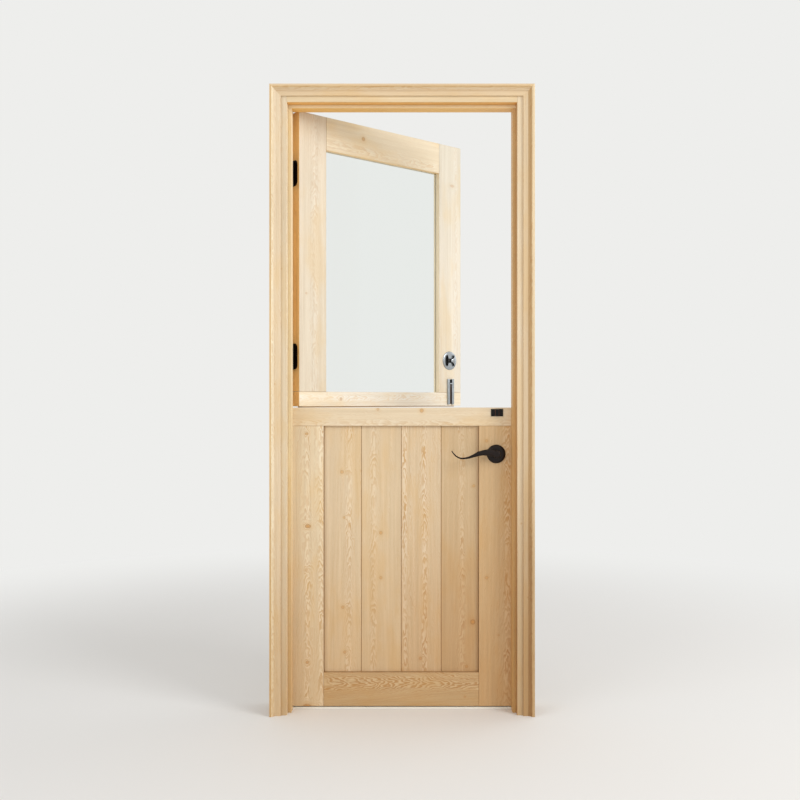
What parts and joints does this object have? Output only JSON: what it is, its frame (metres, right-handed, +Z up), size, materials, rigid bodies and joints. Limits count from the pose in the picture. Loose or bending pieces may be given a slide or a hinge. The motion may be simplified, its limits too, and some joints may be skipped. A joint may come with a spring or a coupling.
{
  "type": "dutch stable door",
  "caption": "Stable door in its own pine frame: a boarded lower leaf and a glazed upper leaf that swing apart, with butt hinges, lever latch, deadbolt and a bolt that joins the leaves.",
  "frame": {"origin": "on the floor, midway between the jambs, at mid thickness of the closed leaves", "axes": "+X to the right seen from the room, +Y outwards through the wall, +Z up"},
  "size_m": [0.882, 0.6205, 2.102],
  "materials": {
    "pine": "clear satin finish, straight grain, small knots",
    "silver": "satin",
    "black_metal": "satin black",
    "steel": "bright zinc",
    "glass": "clear, smooth",
    "seal": "matt, pale",
    "sill_paint": "creamy white"
  },
  "bodies": {
    "frame": {"hinge_jamb": "pine", "strike_jamb": "pine", "head_jamb": "pine", "hinge_side_stop": "pine", "strike_side_stop": "pine", "head_stop": "pine", "threshold_strip": "sill_paint", "room_casing_left": "pine", "room_casing_right": "pine", "room_casing_head": "pine", "outside_moulding_left": "pine", "outside_moulding_right": "pine", "outside_moulding_head": "pine", "latch_strike": "black_metal", "deadbolt_strike": "steel", "hinge_frame_plate_1": "black_metal", "hinge_frame_plate_2": "black_metal", "hinge_frame_plate_3": "black_metal", "hinge_frame_plate_4": "black_metal", "hinge_pins": "black_metal", "frame_screws": "steel"},
    "upper_leaf": {"upper_hinge_stile": "pine", "upper_lock_stile": "pine", "upper_top_rail": "pine", "upper_bottom_rail": "pine", "glass_pane": "glass", "glazing_beads": "pine", "meeting_seal": "seal", "hinge_leaf_plate_1": "black_metal", "hinge_leaf_plate_2": "black_metal", "deadbolt_case": "steel", "deadbolt_rose": "silver", "cylinder_collar": "silver", "dutch_bolt_guide": "silver", "upper_leaf_screws": "steel"},
    "thumb_turn": {"thumb_turn": "silver", "tailpiece": "steel"},
    "deadbolt": {"deadbolt_bolt": "steel"},
    "cylinder_plug": {"cylinder_plug": "silver"},
    "dutch_bolt": {"dutch_bolt_bar": "black_metal"},
    "lower_leaf": {"lower_hinge_stile": "pine", "lower_lock_stile": "pine", "lower_top_rail": "pine", "lower_bottom_rail": "pine", "board_1": "pine", "board_2": "pine", "board_3": "pine", "board_4": "pine", "hinge_leaf_plate_3": "black_metal", "hinge_leaf_plate_4": "black_metal", "dutch_bolt_keeper": "black_metal", "latch_case": "steel", "inside_rose": "black_metal", "outside_rose": "black_metal", "lower_leaf_screws": "steel"},
    "lever_set": {"inside_lever": "black_metal", "outside_lever": "black_metal", "spindle": "steel"},
    "latch": {"latch_bolt": "steel"}
  },
  "joints": [
    {"name": "upper_swing", "type": "hinge", "parent": "frame", "child": "upper_leaf", "pos_m": [-0.3825, 0.026, 1.5175], "axis": [0, 0, 1], "range_deg": [-40, 70]},
    {"name": "lower_swing", "type": "hinge", "parent": "frame", "child": "lower_leaf", "pos_m": [-0.3825, 0.026, 0.5355], "axis": [0, 0, 1], "range_deg": [0, 110]},
    {"name": "lever_turn", "type": "hinge", "parent": "lower_leaf", "child": "lever_set", "pos_m": [0.321, 0, 0.868], "axis": [0, -1, 0], "range_deg": [0, 45], "stiffness_Nm_per_rad": 0.8, "springref_deg": -34.38},
    {"name": "latch_slide", "type": "slide", "parent": "lower_leaf", "child": "latch", "axis": [1, 0, 0], "range_m": [-0.012, 0]},
    {"name": "thumb_turn_turn", "type": "hinge", "parent": "upper_leaf", "child": "thumb_turn", "pos_m": [0.18598, 0.44296, 1.205], "axis": [0.6428, -0.766, 0], "range_deg": [0, 90]},
    {"name": "deadbolt_slide", "type": "slide", "parent": "upper_leaf", "child": "deadbolt", "axis": [0.766, 0.6428, 0], "range_m": [0, 0.0254]},
    {"name": "cylinder_turn", "type": "hinge", "parent": "upper_leaf", "child": "cylinder_plug", "pos_m": [0.16027, 0.4736, 1.205], "axis": [0.6428, -0.766, 0], "range_deg": [0, 90]},
    {"name": "dutch_bolt_slide", "type": "slide", "parent": "upper_leaf", "child": "dutch_bolt", "axis": [0, 0, -1], "range_m": [0, 0.028]}
  ],
  "couplings": [
    {"joint": "latch_slide", "follows": "lever_turn", "m_per_rad": -0.015279},
    {"joint": "deadbolt_slide", "follows": "thumb_turn_turn", "m_per_rad": 0.01617},
    {"joint": "cylinder_turn", "follows": "thumb_turn_turn", "ratio": 1}
  ]
}
